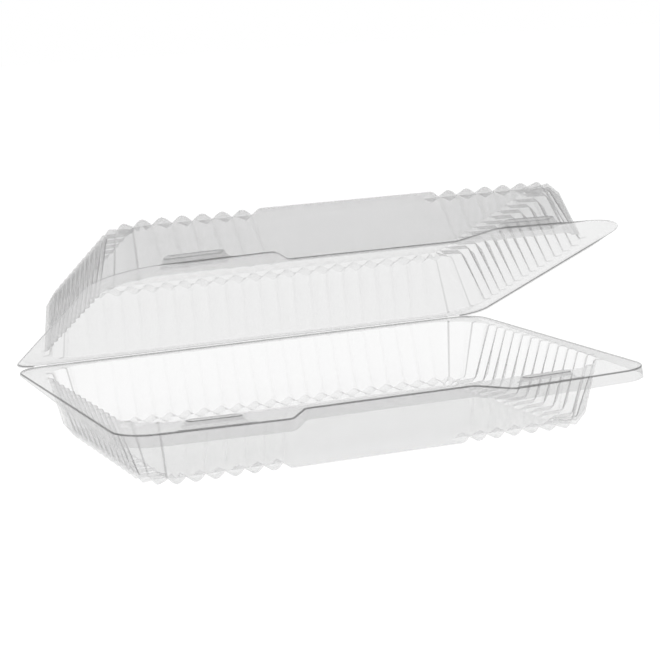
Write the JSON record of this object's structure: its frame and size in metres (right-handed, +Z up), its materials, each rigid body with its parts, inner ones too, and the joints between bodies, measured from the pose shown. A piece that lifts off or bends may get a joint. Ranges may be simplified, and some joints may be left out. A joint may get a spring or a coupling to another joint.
{
  "type": "clear plastic hinged clamshell pack",
  "caption": "Clear thermoformed food clamshell: a fluted tray and a domed fluted lid on one living hinge, with snap bars on the front rim.",
  "frame": {"origin": "underside of the tray's floor, midway along the pack and under the middle of its depth", "axes": "+X along the hinge, +Y from the front rim towards the hinge, +Z up"},
  "size_m": [0.3024, 0.2252, 0.1344],
  "materials": {
    "clear_sheet": "clear glossy thin thermoformed sheet"
  },
  "bodies": {
    "tray": {"tray": "clear_sheet"},
    "lid": {"lid": "clear_sheet"}
  },
  "joints": [
    {"name": "lid_hinge", "type": "hinge", "parent": "tray", "child": "lid", "pos_m": [0, 0.108, 0.03565], "axis": [-1, 0, 0], "range_deg": [-21.4, 158.6]}
  ]
}
